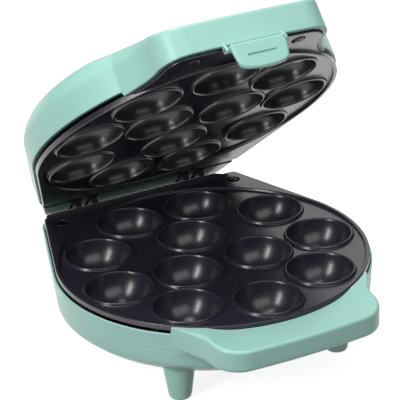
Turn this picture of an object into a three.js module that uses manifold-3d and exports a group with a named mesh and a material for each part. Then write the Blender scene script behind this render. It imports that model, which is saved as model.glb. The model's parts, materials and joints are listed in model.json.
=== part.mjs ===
// Ball-cake (mini donut) maker: two hinged shells with twelve-cup baking plates,
// a front latch on the lid and the heating gear sealed between plates and shells.
// Millimetres. +Z up, -Y to the handle, +Y to the hinge, +X to the right.
// Everything is drawn with the plates' circle centre at x = 0, y = 0 and the table at z = 0;
// the whole group is then shifted along Y so that the origin is under the middle of its box.
import * as THREE from 'three';
import { mergeVertices } from 'three/addons/utils/BufferGeometryUtils.js';
import Module from 'manifold-3d';

const wasm = await Module();
wasm.setup();

// ---- driving dimensions ----
const CENTRE_Y = 5.9; // middle of the open maker's box, from the plates' centre
const PART_Z = 56.75; // height of the lower plate's rims, where the halves meet
const OPEN_DEG = 42.4; // how far the lid stands open at rest
const HINGE_Y = 106.5;
const HINGE_Z = 62.4;

const CUP_R = 19.6; // half of a 39 mm cake
const CUP_RING = 69.45;
const CUP_INNER_RING = 28;
const CUP_OUTER_R = 21.9;
const BEAD_R = 21.7;
const DECK_DROP = 1.75;
const SEAM = 0.5; // gap between the rims when the lid is shut

const PLATE_R = 95.8;
const PLATE_FLANGE = 3.25;
const SIDE_DEG = 18.2; // the straight sides lean in towards the hinge
const LOWER_REAR_Y = 97.8;
const UPPER_REAR_Y = 117;
const RIM_WIDTH = 2;
const DECK_REAR_Y = 93;

const SHELL_R = 97;
const EDGE = 9; // rounding of the base's lower edge
const LID_EDGE = 10; // and of the lid's upper edge
const WALL = 2.5;
const GAP = 0.35;
const BASE_REAR_Y = 113;
const LID_REAR_Y = 117.5;
const BASE_FLOOR_Z = 24;
const BASE_LIP_Z = 52;
const SHELF_Z = 48.6;
const LID_LIP_Z = 63;
const LID_TOP_Z = 91.5;
const NOTCH_DEG = 42; // the raised front stretch of each lip, either side of the middle

const HANDLE_W = 54; // half width
const HANDLE_CORNER = 18;
const HANDLE_Y = 118;
const HANDLE_BOTTOM_Z = 40.5;
const HANDLE_TOP_Z = 56.5;
const HANDLE_EDGE_Z = 54.2;
const LID_HANDLE_Z = 59.6;
const LID_FRONT_Z = 77.3;
const LID_SLOPE_DEG = 12.5;

const PAD_R = 4;
const PAD_H = 1.5;
const FOOT_FRONT = [53.4, -56.6];
const FOOT_REAR = [64, 24];
const LOWER_SCREWS = [[-62, 86], [62, 86]];
const LOWER_SEAT = 1.5; // screw seats, below the plate's rims
const UPPER_REAR_SCREWS = [[-54, 96], [54, 96]];
const UPPER_REAR_SEAT = 3.5;
const UPPER_FRONT_SCREWS = [[-33, -105], [33, -105]];
const UPPER_FRONT_SEAT = 2.6;
const SIDES = [1, -1];
const LIP_Y = 95.8; // the lower plate's raised back lip
const LIP_TOP = 1.9;
const LIP_X = [-67.5, 60];
const LATCH_Y = -118;
const LATCH_Z = 57.3;
const LATCH_HALF = 17; // half of the tab's width
const ELEMENT_R = 48.7;
const ELEMENT_DEPTH = 16.8; // below the plate's rims
const ELEMENT_TUBE_R = 3.2;
const PIN_LENGTH = 7; // the element's two terminals
const WIRE_R = 1.1;
const EAR_X = [31, 42.3]; // inner faces of the two ears of a hinge, 4 mm thick each
const EAR_T = 4;
const EAR_PLAY = 0.7;
const LUG_X = 36; // inner face of the lid's lug
const LUG_T = 5.3;
const EYE_R = 5;
const PIN_R = 2;
const PIN_PLAY = 0.3;
const CORD = [-45, 37]; // x and height of the cord's inlet in the back wall
const LAMP_X = 9;
const LAMP_Y = -72;
const REACH = 220; // past every edge of the maker

const MINT = { color: 0x9fd3c7, roughness: 0.28, metalness: 0 };
const COATED = { color: 0x1b191d, roughness: 0.42, metalness: 0.3 };
const STEEL = { color: 0xb4b6b8, roughness: 0.35, metalness: 1 };
const BLACK_STEEL = { color: 0x323235, roughness: 0.4, metalness: 1 };
const DARK_PLASTIC = { color: 0x222326, roughness: 0.6, metalness: 0 };
const RUBBER = { color: 0x2b2b2c, roughness: 0.85, metalness: 0 };
const CERAMIC = { color: 0xe8e2d4, roughness: 0.7, metalness: 0 };
const RED_LENS = { color: 0xb3261c, roughness: 0.2, metalness: 0 };
const GREEN_LENS = { color: 0x2f9c4a, roughness: 0.2, metalness: 0 };

const rad = THREE.MathUtils.degToRad;
const maker = new THREE.Group();
const base = new THREE.Group();
const lid = new THREE.Group();

// ---- solids ----
function solid(geometry) {
  geometry.deleteAttribute('normal');
  geometry.deleteAttribute('uv');
  const merged = mergeVertices(geometry, 1e-4);
  return new wasm.Manifold(new wasm.Mesh({
    numProp: 3,
    vertProperties: Float32Array.from(merged.attributes.position.array),
    triVerts: Uint32Array.from(merged.index.array),
  }));
}

function geometryOf(body) {
  const mesh = body.getMesh();
  const geometry = new THREE.BufferGeometry();
  const positions = new Float32Array(mesh.vertProperties);
  geometry.setAttribute('position', new THREE.BufferAttribute(positions, 3));
  geometry.setIndex(new THREE.BufferAttribute(new Uint32Array(mesh.triVerts), 1));
  geometry.computeVertexNormals();
  return geometry;
}

function join(bodies) {
  return bodies.reduce((whole, next) => whole.add(next));
}

function cut(body, tools) {
  return tools.reduce((left, tool) => left.subtract(tool), body);
}

function box(x0, x1, y0, y1, z0, z1) {
  const geometry = new THREE.BoxGeometry(x1 - x0, y1 - y0, z1 - z0);
  return solid(geometry.translate((x0 + x1) / 2, (y0 + y1) / 2, (z0 + z1) / 2));
}

// a box wider than the whole maker, for cutting at a height
function layer(z0, z1) {
  return box(-REACH, REACH, -REACH, REACH, z0, z1);
}

function post(x, y, z0, z1, r0, r1 = r0, sides = 20) {
  const geometry = new THREE.CylinderGeometry(r1, r0, z1 - z0, sides);
  return solid(geometry.rotateX(Math.PI / 2).translate(x, y, (z0 + z1) / 2));
}

function rod(x0, x1, y, z, r, sides = 20) {
  const geometry = new THREE.CylinderGeometry(r, r, x1 - x0, sides);
  return solid(geometry.rotateZ(Math.PI / 2).translate((x0 + x1) / 2, y, z));
}

function rodAlongY(x, y0, y1, z, r, sides = 20) {
  const geometry = new THREE.CylinderGeometry(r, r, y1 - y0, sides);
  return solid(geometry.translate(x, (y0 + y1) / 2, z));
}

function ring(x, y, profile, sides) {
  const points = profile.map(([r, z]) => new THREE.Vector2(r, z));
  points.push(points[0].clone());
  return solid(new THREE.LatheGeometry(points, sides).rotateX(Math.PI / 2).translate(x, y, 0));
}

function ball(x, y, z, r, sides, rings) {
  const geometry = new THREE.SphereGeometry(r, sides, rings);
  return solid(geometry.rotateX(Math.PI / 2).translate(x, y, z));
}

function slab(points, z0, z1) {
  const shape = new THREE.Shape(points);
  const geometry = new THREE.ExtrudeGeometry(shape, { depth: z1 - z0, bevelEnabled: false });
  return solid(geometry.translate(0, 0, z0));
}

// a slab whose lower or upper edge is rounded over: the outline grows by `grow` over `height`
function roundedSlab(points, z0, z1, height, grow, end) {
  const shape = new THREE.Shape(points);
  const extra = end === 'bottom' ? 0 : height;
  const geometry = new THREE.ExtrudeGeometry(shape, {
    depth: z1 - z0 - height + extra,
    bevelThickness: height,
    bevelSize: grow,
    bevelSegments: 3,
  });
  const whole = solid(geometry.translate(0, 0, end === 'bottom' ? z0 + height : z0 - height));
  return whole.intersect(layer(z0, z1));
}

function sideways(profile, x0, x1) {
  const shape = new THREE.Shape(profile.map(([y, z]) => new THREE.Vector2(y, z)));
  const geometry = new THREE.ExtrudeGeometry(shape, { depth: x1 - x0, bevelEnabled: false });
  const turn = new THREE.Matrix4().makeBasis(
    new THREE.Vector3(0, 1, 0), new THREE.Vector3(0, 0, 1), new THREE.Vector3(1, 0, 0));
  return solid(geometry.applyMatrix4(turn).translate(x0, 0, 0));
}

function tube(route, radius, steps, sides = 8) {
  const path = new THREE.CatmullRomCurve3(route.map((p) => new THREE.Vector3(...p)));
  return sweep(path, radius, steps, sides);
}

function sweep(path, radius, steps, sides) {
  const points = arc(0, 0, radius, 0, 360 - 360 / sides, sides - 1);
  const shape = new THREE.Shape(points);
  return solid(new THREE.ExtrudeGeometry(shape, { steps, extrudePath: path }));
}

function add(group, name, body, look) {
  const mesh = new THREE.Mesh(geometryOf(body), new THREE.MeshStandardMaterial(look));
  mesh.name = name;
  group.add(mesh);
}

function sideName(x) {
  return x > 0 ? 'right' : 'left';
}

// ---- outlines ----
function arc(x, y, r, from, to, steps) {
  const points = [];
  for (let i = 0; i <= steps; i++) {
    const angle = rad(from + ((to - from) * i) / steps);
    points.push(new THREE.Vector2(x + r * Math.cos(angle), y + r * Math.sin(angle)));
  }
  return points;
}

function mirrored(points) {
  const left = points.map((p) => new THREE.Vector2(-p.x, p.y)).reverse();
  return points.concat(left);
}

// the plates' plan: a circle whose sides run straight to a narrower back
function roundPlan(r, rearY, corner) {
  const side = rad(SIDE_DEG);
  const along = (y) => r * Math.cos(side) - (y - r * Math.sin(side)) * Math.tan(side);
  const right = [
    new THREE.Vector2(along(rearY) - corner, rearY),
    new THREE.Vector2(along(rearY) - corner * 0.3, rearY - corner * 0.2),
    new THREE.Vector2(along(rearY - corner), rearY - corner),
  ];
  const points = right.concat(arc(0, 0, r, SIDE_DEG, -180 - SIDE_DEG, 44));
  const left = right.map((p) => new THREE.Vector2(-p.x, p.y)).reverse();
  return points.concat(left).reverse();
}

// the handle's plan: a blunt tongue that flares into the round shell
function handlePlan(inset) {
  const w = HANDLE_W - inset;
  const corner = HANDLE_CORNER - inset;
  const low = HANDLE_Y - 1.4 - inset;
  const flare = new THREE.CubicBezierCurve(
    new THREE.Vector2(w + 14.5, -72.5), new THREE.Vector2(w + 6.5, -82),
    new THREE.Vector2(w + 0.5, -90), new THREE.Vector2(w, -low + corner));
  const right = [new THREE.Vector2(w - 2, -50), new THREE.Vector2(w + 10, -62)];
  right.push(...flare.getPoints(7));
  right.push(...arc(w - corner, -low + corner, corner, 0, -84, 7).slice(1));
  right.push(new THREE.Vector2(w * 0.33, -low - 1));
  return mirrored(right).reverse();
}

function frontSector(z0, z1) {
  const points = [new THREE.Vector2(0, 0)];
  points.push(...arc(0, 0, REACH, -90 - NOTCH_DEG, -90 + NOTCH_DEG, 4));
  return slab(points, z0, z1);
}

function cupCentres() {
  const centres = [];
  for (let i = 0; i < 9; i++) {
    const angle = rad(-90 + 40 * i);
    centres.push([CUP_RING * Math.cos(angle), CUP_RING * Math.sin(angle)]);
  }
  for (let i = 0; i < 3; i++) {
    const angle = rad(90 + 120 * i);
    centres.push([CUP_INNER_RING * Math.cos(angle), CUP_INNER_RING * Math.sin(angle)]);
  }
  return centres;
}

// ---- baking plates ----
// drawn as the lower plate, rims up at z = 0; `extra` and `holes` are what the two don't share
function bakingPlate(rearY, extra, holes) {
  const flange = slab(roundPlan(PLATE_R, rearY, 3), -PLATE_FLANGE, 0);
  const recess = slab(roundPlan(PLATE_R - RIM_WIDTH, DECK_REAR_Y, 30), -DECK_DROP, 5)
    .intersect(post(0, 0, -10, 10, PLATE_R - RIM_WIDTH, PLATE_R - RIM_WIDTH, 60));
  let plate = flange.subtract(recess);
  plate = plate.add(slab(roundPlan(PLATE_R - 2.6, 90, 24), -4.4, -DECK_DROP));
  plate = plate.add(post(0, 0, -21, -DECK_DROP, 5, 5, 12));
  const cups = [];
  const hollows = [];
  for (const [x, y] of cupCentres()) {
    const cup = ball(x, y, 0, CUP_OUTER_R, 10, 6);
    cups.push(cup.intersect(box(x - 30, x + 30, y - 30, y + 30, -30, -DECK_DROP - 0.3)));
    cups.push(post(x, y, -2.5, 0, BEAD_R, BEAD_R - 0.6, 14));
    hollows.push(ball(x, y, 0, CUP_R, 14, 6));
  }
  plate = join([plate, ...cups, ...extra]);
  return cut(plate, [...hollows, ...holes]);
}

// a through hole and a seat for the screw's head, `depth` below the rims
function screwHoles(places, depth) {
  return places.flatMap(([x, y]) => [
    post(x, y, -30, 10, 2, 2, 12),
    post(x, y, -depth, 10, 4.2, 4.2, 16),
  ]);
}

// the stretch from a to b on the right, or its mirror image on the left
function span(side, a, b) {
  return side > 0 ? [a, b] : [-b, -a];
}

function lowerPlate() {
  const hingeZ = HINGE_Z - PART_Z;
  const extra = [box(...LIP_X, LIP_Y, LOWER_REAR_Y, -2, LIP_TOP)];
  const holes = screwHoles(LOWER_SCREWS, LOWER_SEAT);
  for (const side of SIDES) {
    for (const inner of EAR_X) extra.push(...ear(...span(side, inner, inner + EAR_T), hingeZ));
    holes.push(rod(...span(side, 25, 55), HINGE_Y, hingeZ, PIN_R + PIN_PLAY, 16));
  }
  return bakingPlate(LOWER_REAR_Y, extra, holes).translate(0, 0, PART_Z);
}

function ear(x0, x1, hingeZ) {
  const gusset = sideways([[LIP_Y + 0.1, -3.2], [99, -3.2], [HINGE_Y + 2, hingeZ - 4.5],
    [HINGE_Y - 1, hingeZ + 4.8], [LIP_Y + 0.1, LIP_TOP + 0.4]], x0, x1);
  return [rod(x0, x1, HINGE_Y, hingeZ, EYE_R), gusset];
}

// the lid's plate is the mirror image of that form, rims down, so z runs the other way
function upperPlate() {
  const rim = PART_Z + SEAM;
  const hingeZ = rim - HINGE_Z;
  const tongue = slab(handlePlan(4), -4.1, -1.7);
  const extra = [tongue.subtract(post(0, 0, -10, 10, PLATE_R - 3, PLATE_R - 3, 72))];
  for (const [x, y] of UPPER_REAR_SCREWS) extra.push(post(x, y, -6.2, -2, 6, 6, 14));
  const holes = [...screwHoles(UPPER_REAR_SCREWS, UPPER_REAR_SEAT)];
  holes.push(...screwHoles(UPPER_FRONT_SCREWS, UPPER_FRONT_SEAT));
  // a groove that clears the lower plate's lip, and the shallower step behind it
  holes.push(box(-80, 80, LIP_Y - 0.4, LOWER_REAR_Y + 1.6, -1.9, 5));
  holes.push(box(-80, 80, LOWER_REAR_Y + 1.6, 130, -0.2, 5));
  for (const side of SIDES) {
    for (const inner of EAR_X) {
      const notch = span(side, inner - EAR_PLAY, inner + EAR_T + EAR_PLAY);
      holes.push(box(...notch, LIP_Y - 0.4, 130, -30, 30));
    }
    const bore = span(side, LUG_X - 2, LUG_X + LUG_T + 2);
    holes.push(rod(...bore, HINGE_Y, hingeZ, PIN_R + PIN_PLAY, 16));
  }
  const lugs = SIDES.map((side) => lug(...span(side, LUG_X, LUG_X + LUG_T), hingeZ));
  const plate = join([bakingPlate(UPPER_REAR_Y, extra, holes), ...lugs]);
  return plate.scale([1, 1, -1]).translate(0, 0, rim);
}

function lug(x0, x1, hingeZ) {
  const arm = sideways([[93.5, -4.2], [97, -1.9], [HINGE_Y, hingeZ + EYE_R * 0.96],
    [HINGE_Y, hingeZ - EYE_R * 0.96], [97, -6.5], [93.5, -6.5]], x0, x1);
  const bore = rod(x0 - 1, x1 + 1, HINGE_Y, hingeZ, PIN_R + PIN_PLAY, 16);
  return rod(x0, x1, HINGE_Y, hingeZ, EYE_R).add(arm).subtract(bore);
}

// ---- shells ----
function handleSlope(drop) {
  const slope = Math.atan2(HANDLE_TOP_Z - HANDLE_EDGE_Z, HANDLE_Y - PLATE_R);
  const geometry = new THREE.BoxGeometry(400, 400, 100).translate(0, 0, 50);
  geometry.rotateX(slope).translate(0, -PLATE_R, HANDLE_TOP_Z - drop);
  return solid(geometry);
}

function foot([x, y]) {
  return ring(x, y, [[0, 0.4], [5.2, 0.4], [6.4, 1.4], [7, 3.4], [10, 27], [0, 27]], 14);
}

function feetPlaces() {
  const [fx, fy] = FOOT_FRONT;
  const [rx, ry] = FOOT_REAR;
  return { front_left: [-fx, fy], front_right: [fx, fy], rear_left: [-rx, ry], rear_right: [rx, ry] };
}

function baseHousing() {
  const tall = 70;
  const plan = roundPlan(SHELL_R - EDGE, BASE_REAR_Y - EDGE, 10);
  const innerPlan = roundPlan(SHELL_R - EDGE - WALL, BASE_REAR_Y - EDGE - WALL, 8);
  const outside = join([
    roundedSlab(plan, BASE_FLOOR_Z, tall, EDGE, EDGE, 'bottom'),
    roundedSlab(handlePlan(2), HANDLE_BOTTOM_Z, tall, 3, 2, 'bottom'),
  ]);
  // hollow, apart from the handle's top
  const inside = join([
    roundedSlab(innerPlan, BASE_FLOOR_Z + WALL, tall, EDGE, EDGE, 'bottom'),
    slab(handlePlan(WALL + 1), HANDLE_BOTTOM_Z + WALL, tall),
  ]).subtract(handleSlope(WALL).intersect(frontSector(0, REACH)));
  const well = slab(roundPlan(PLATE_R + GAP, LOWER_REAR_Y + GAP, 3), BASE_LIP_Z, tall);
  const overLip = layer(BASE_LIP_Z, tall).subtract(frontSector(0, REACH));
  const behind = box(-REACH, REACH, LOWER_REAR_Y + GAP, REACH, SHELF_Z, tall);
  const overHandle = [handleSlope(0), layer(HANDLE_TOP_Z, tall)];
  const shell = cut(outside, [inside, well, overLip, behind, ...overHandle]);
  // a shelf closes the back behind the plate, under the hinge
  const shelf = slab(roundPlan(SHELL_R - 1, BASE_REAR_Y - 1, 8), SHELF_Z - WALL, SHELF_Z)
    .intersect(box(-REACH, REACH, LOWER_REAR_Y - 3, REACH, 0, tall));
  const bosses = LOWER_SCREWS.map(([x, y]) => post(x, y, BASE_FLOOR_Z + 1, 52, 4.6, 4.2, 12));
  const feet = Object.values(feetPlaces());
  const holes = [
    ...LOWER_SCREWS.map(([x, y]) => post(x, y, 34, 60, 1.9, 1.9, 12)),
    ...feet.map(([x, y]) => post(x, y, -1, PAD_H + 0.3, PAD_R + 0.4, PAD_R + 0.4, 18)),
    rodAlongY(CORD[0], 100, 130, CORD[1], 6.3),
  ];
  return cut(join([shell, shelf, ...bosses, ...feet.map(foot)]), holes);
}

function lidSlope(drop) {
  const geometry = new THREE.BoxGeometry(400, 400, 100).translate(0, 0, 50);
  geometry.rotateX(rad(LID_SLOPE_DEG)).translate(0, -HANDLE_Y, LID_FRONT_Z - drop);
  return solid(geometry);
}

function lidHousing() {
  const low = 40;
  const plan = roundPlan(SHELL_R - LID_EDGE, LID_REAR_Y - LID_EDGE, 10);
  const innerPlan = roundPlan(SHELL_R - LID_EDGE - WALL, LID_REAR_Y - LID_EDGE - WALL, 8);
  const outside = join([
    roundedSlab(plan, low, LID_TOP_Z, 12, LID_EDGE, 'top'),
    slab(handlePlan(0), LID_HANDLE_Z, LID_TOP_Z),
  ]);
  const inside = join([
    roundedSlab(innerPlan, low, LID_TOP_Z - WALL, 12, LID_EDGE, 'top'),
    slab(handlePlan(WALL + 0.5), low, LID_TOP_Z),
  ]).subtract(lidSlope(WALL));
  const underLip = layer(0, LID_LIP_Z).subtract(frontSector(0, REACH));
  const well = slab(roundPlan(PLATE_R + GAP, 140, 3), 0, LID_LIP_Z);
  const underHandle = layer(0, LID_HANDLE_Z - 1.2);
  const shell = cut(outside, [lidSlope(0), inside, underLip, underHandle, well]);
  const bosses = [
    ...UPPER_REAR_SCREWS.map(([x, y]) => post(x, y, LID_LIP_Z + 1, LID_TOP_Z - 1, 4, 4.6, 12)),
    ...UPPER_FRONT_SCREWS.map(([x, y]) => post(x, y, LID_LIP_Z - 1, LID_FRONT_Z + 1.7, 4, 4.6, 12)),
  ];
  const places = [...UPPER_REAR_SCREWS, ...UPPER_FRONT_SCREWS];
  const holes = [
    ...places.map(([x, y]) => post(x, y, 50, 77, 1.9, 1.9, 12)),
    ...SIDES.map((side) => post(side * LAMP_X, LAMP_Y, 70, 100, 3.3, 3.3, 16)),
    rod(-30, 30, LATCH_Y, LATCH_Z, 1.26, 12),
  ];
  return cut(join([shell, ...bosses, ...latchEars()]), holes);
}

function latchEars() {
  const profile = [[-115.6, 61.5], [-115.6, 56], [-116.6, 55.1], [-119.4, 55.1],
    [-120.2, 56.4], [-120.2, 58.2], [-117.9, 61.5]];
  return SIDES.map((side) => sideways(profile, ...span(side, 17.6, 20)));
}

// ---- latch ----
function latch() {
  const half = LATCH_HALF;
  const right = [[half, 1.2], [half, -4], [half - 1.4, -10.5], [half - 6, -14.2]];
  const left = right.map(([x, z]) => [-x, z]).reverse();
  const outline = [...right, [0, -15.2], ...left].map(([x, z]) => new THREE.Vector2(x, z));
  const geometry = new THREE.ExtrudeGeometry(new THREE.Shape(outline), {
    depth: 1.6, bevelThickness: 0.8, bevelSize: 0.8, bevelOffset: -0.8, bevelSegments: 1 });
  const tab = solid(geometry.rotateX(Math.PI / 2).translate(0, LATCH_Y - 1.9, LATCH_Z));
  const knuckle = rod(-half, half, LATCH_Y, LATCH_Z, 2, 16);
  const web = box(-half, half, LATCH_Y - 2.8, LATCH_Y, LATCH_Z - 1.6, LATCH_Z + 0.6);
  const groove = box(-9, 9, LATCH_Y - 6, LATCH_Y - 3.6, LATCH_Z - 7.4, LATCH_Z - 6.2);
  const bore = rod(-30, 30, LATCH_Y, LATCH_Z, 1.06, 12);
  return cut(join([tab, knuckle, web]), [groove, bore]);
}

// ---- inside ----
// the heating rod: nearly a full turn round the middle of the plate
class ElementPath extends THREE.Curve {
  constructor(z) {
    super();
    this.z = z;
  }

  getPoint(t, target = new THREE.Vector3()) {
    const angle = rad(90 + 18 + 324 * t);
    return target.set(ELEMENT_R * Math.cos(angle), ELEMENT_R * Math.sin(angle), this.z);
  }
}

// `away` is the side of the plate's back: -1 is down, 1 is up
function element(z, away) {
  const ringRod = sweep(new ElementPath(z), ELEMENT_TUBE_R, 36, 8);
  const pins = SIDES.map((side) => {
    const x = side * ELEMENT_R * Math.sin(rad(20));
    const y = ELEMENT_R * Math.cos(rad(20));
    const [low, high] = away > 0 ? [z, z + PIN_LENGTH] : [z - PIN_LENGTH, z];
    return box(x - 1.4, x + 1.4, y - 2.2, y + 1.2, low, high);
  });
  return join([ringRod, ...pins]);
}

// drawn head up, its seat at z = 0
function screw(x, y, seatZ, up) {
  const head = post(0, 0, 0, 1.6, 3.4, 3.4, 14);
  const shank = post(0, 0, -15, 0.5, 1.5, 1.5, 10);
  const whole = head.add(shank).subtract(box(-3, 3, -0.4, 0.4, 1, 3));
  return whole.scale([1, 1, up ? 1 : -1]).translate(x, y, seatZ);
}

function thermostat() {
  const can = post(0, 0, 28, 35, 7.5, 7.5, 20);
  return can.add(box(-12, 12, -2, 2, 29, 30));
}

function fuse(x, y, z) {
  return rod(x - 6, x + 6, y, z, 2, 12).add(rod(x - 12, x + 12, y, z, 0.6, 8));
}

function cordBushing() {
  const [x, z] = CORD;
  const wallY = BASE_REAR_Y - 1;
  const collar = rodAlongY(x, wallY - 6, wallY + 4, z, 6);
  const flange = rodAlongY(x, wallY + 2, wallY + 4, z, 7.6);
  return collar.add(flange).subtract(rodAlongY(x, wallY - 20, wallY + 20, z, 3.5, 16));
}

function lens(x) {
  const top = LID_FRONT_Z + (HANDLE_Y + LAMP_Y) * Math.tan(rad(LID_SLOPE_DEG));
  return post(x, LAMP_Y, 82.4, top + 0.6, 3, 2.6, 16);
}

// ---- assembly ----
function buildBase() {
  add(base, 'base_housing', baseHousing(), MINT);
  add(base, 'lower_plate', lowerPlate(), COATED);
  for (const [corner, [x, y]] of Object.entries(feetPlaces())) {
    add(base, `foot_pad_${corner}`, post(x, y, 0, PAD_H, PAD_R, PAD_R, 18), RUBBER);
  }
  for (const [x, y] of LOWER_SCREWS) {
    const seat = PART_Z - LOWER_SEAT + 0.1;
    add(base, `lower_plate_screw_${sideName(x)}`, screw(x, y, seat, true), BLACK_STEEL);
  }
  add(base, 'lower_heating_element', element(PART_Z - ELEMENT_DEPTH, -1), STEEL);
  add(base, 'thermostat', thermostat(), CERAMIC);
  add(base, 'lower_thermal_fuse', fuse(20, 62, 33), STEEL);
  add(base, 'terminal_block', box(-50, -26, 80, 94, BASE_FLOOR_Z + WALL + 0.4, 37), CERAMIC);
  add(base, 'cord_bushing', cordBushing(), RUBBER);
  const elementRun = [[-36, 79.4, 32], [-32, 72, 30], [-20, 58, 28.6], [-16.7, 45.6, 31.6]];
  const thermostatRun = [[-40, 79.4, 33], [-34, 66, 29], [-22, 30, 28.6], [-8, 8, 29.4]];
  add(base, 'lower_element_wire', tube(elementRun, WIRE_R, 10), DARK_PLASTIC);
  add(base, 'thermostat_wire', tube(thermostatRun, WIRE_R, 12), DARK_PLASTIC);
  for (const side of SIDES) {
    const ends = span(side, EAR_X[0] - 0.3, EAR_X[1] + EAR_T + 0.3);
    const pin = rod(...ends, HINGE_Y, HINGE_Z, PIN_R, 16);
    add(base, `hinge_pin_${sideName(side)}`, pin, STEEL);
  }
}

function buildLid() {
  const rim = PART_Z + SEAM;
  add(lid, 'lid_housing', lidHousing(), MINT);
  add(lid, 'upper_plate', upperPlate(), COATED);
  for (const [x, y] of UPPER_REAR_SCREWS) {
    const seat = rim + UPPER_REAR_SEAT - 0.1;
    add(lid, `upper_plate_screw_rear_${sideName(x)}`, screw(x, y, seat, false), BLACK_STEEL);
  }
  for (const [x, y] of UPPER_FRONT_SCREWS) {
    const seat = rim + UPPER_FRONT_SEAT - 0.1;
    add(lid, `upper_plate_screw_front_${sideName(x)}`, screw(x, y, seat, false), BLACK_STEEL);
  }
  add(lid, 'upper_heating_element', element(rim + ELEMENT_DEPTH, 1), STEEL);
  add(lid, 'upper_thermal_fuse', fuse(20, 62, 81.5), STEEL);
  add(lid, 'lamp_holder', box(-14, 14, LAMP_Y - 6, LAMP_Y + 6, 80, 82), DARK_PLASTIC);
  add(lid, 'power_lamp_lens', lens(-LAMP_X), RED_LENS);
  add(lid, 'ready_lamp_lens', lens(LAMP_X), GREEN_LENS);
  const wireRun = [[6, -60, 82], [10, -20, 85], [14, 20, 85], [17.5, 47, 82.5]];
  add(lid, 'lid_wire', tube(wireRun, WIRE_R, 12), DARK_PLASTIC);
  add(lid, 'latch', latch(), MINT);
  add(lid, 'latch_pin', rod(-19.6, 19.6, LATCH_Y, LATCH_Z, 1, 12), STEEL);
}

buildBase();
buildLid();

// the lid's parts are drawn shut and swung open about the hinge
const swing = new THREE.Group();
lid.position.set(0, -HINGE_Y, -HINGE_Z);
swing.add(lid);
swing.rotation.x = -rad(OPEN_DEG);
swing.position.set(0, HINGE_Y, HINGE_Z);
maker.add(base, swing);
maker.position.y = -CENTRE_Y;

export default maker;
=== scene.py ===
"""Ball-cake (donut) maker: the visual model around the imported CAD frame.

Shapes are drawn in millimetres as the maker stands shut, with the plates' circle centre at
x = 0, y = 0 and the table at z = 0. place() then takes a shape to the frame, in metres, and
swings the lid's shapes open about the frame's own hinge.
"""
import json
import math

import bmesh
import bpy
from mathutils import Matrix, Vector


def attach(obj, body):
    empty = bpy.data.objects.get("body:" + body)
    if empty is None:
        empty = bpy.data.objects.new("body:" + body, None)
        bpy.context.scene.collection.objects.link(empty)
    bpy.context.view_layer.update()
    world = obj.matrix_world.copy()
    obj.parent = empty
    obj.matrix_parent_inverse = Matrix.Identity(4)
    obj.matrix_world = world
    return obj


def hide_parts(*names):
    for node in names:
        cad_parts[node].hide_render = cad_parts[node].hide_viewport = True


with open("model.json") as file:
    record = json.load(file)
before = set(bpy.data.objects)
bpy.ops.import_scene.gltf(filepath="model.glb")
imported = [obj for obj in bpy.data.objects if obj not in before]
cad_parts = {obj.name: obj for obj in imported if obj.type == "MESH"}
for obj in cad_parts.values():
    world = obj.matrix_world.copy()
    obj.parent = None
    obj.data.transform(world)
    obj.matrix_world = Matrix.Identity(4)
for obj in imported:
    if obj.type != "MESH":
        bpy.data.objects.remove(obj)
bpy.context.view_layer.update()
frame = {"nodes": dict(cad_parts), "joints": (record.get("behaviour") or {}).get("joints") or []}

# ---- driving sizes, mm ----
MM = 0.001
HINGE = next(j for j in frame["joints"] if j["name"] == "lid_hinge")
HINGE_Y = 106.5
HINGE_Z = HINGE["pos_m"][2] / MM
OPEN = math.radians(-HINGE["range_deg"][0])
SHIFT_Y = HINGE["pos_m"][1] - HINGE_Y * MM

# the plates: the lower one's rim is at PART_Z and the upper one's SEAM above it, shut;
# other heights on a plate are from its rim, and go negative into the shell
PART_Z = 56.75
SEAM = 0.5
LID_RIM_Z = PART_Z + SEAM
PLATE_R = 95.8
PLATE_CORNER = 3
DECK_R = 93.8
DECK = -1.75
CUP_R = 19.6
CUP_BACK_R = 21.9
CUP_RING = 69.45
CUP_INNER_RING = 28.0
PLATE_UNDER = -4.4
LOWER_REAR = 97.8
UPPER_REAR = 117.0
# the lower plate's raised back lip, and the upper plate's groove for it, from y to y
LIP_Y = 95.8
LIP_TOP = 1.9
GROOVE = (95.3, 99.4)
GROOVE_Z = -1.9

# the shells: a circle with straight sides that close in by SIDE towards the back
SHELL_R = 97.3
SIDE = math.radians(18.2)
BASE_REAR = 113.0
BASE_CORNER = 17
LID_REAR = 117.5
LID_CORNER = 18
# play between a plate and its shell
GAP = 0.35
# the angle from the front at which the walls step up to the handles
NOTCH = math.radians(42)
PLAN_STEP = 1.5

FLOOR_Z = 24.0
INNER_FLOOR_Z = 26.5
LIP_Z = 52.0
SHELF_Z = 48.6
LID_LIP_Z = 63.0
LID_FRONT_LIP_Z = 60.2
# the lid's skin rises from LID_SHOULDER_Z at the wall to LID_TOP_Z, over LID_SHOULDER
LID_SHOULDER_Z = 79.5
LID_SHOULDER = 11.5
LID_TOP_Z = 91.5
LID_FRONT_Z = 77.3
LID_SLOPE = math.tan(math.radians(12.5))
LID_WALL = 2.5
# an inset that is past the lid's shoulder
ON_TOP = 20

HANDLE_W = 54.0
HANDLE_Y = 118.0
HANDLE_CORNER = 18.0
HANDLE_TOP_Z = 56.5
HANDLE_EDGE_Z = 54.2
HANDLE_DROP = (HANDLE_TOP_Z - HANDLE_EDGE_Z) / (HANDLE_Y - PLATE_R)

LATCH_Y = -118.0
LATCH_Z = 57.3
LATCH_HALF = 17.0
SCREW_SEAT = -1.5
SCREW_HEAD_R = 3.4
LOWER_SCREWS = [(-62, 86), (62, 86)]
REAR_SCREWS = [(-54, 96), (54, 96)]
FRONT_SCREWS = [(-33, -105), (33, -105)]
LAMP_X = 9
LAMP_Y = -72
FEET = {"front_left": (-53.4, -56.6), "front_right": (53.4, -56.6),
        "rear_left": (-64, 24), "rear_right": (64, 24)}

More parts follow.
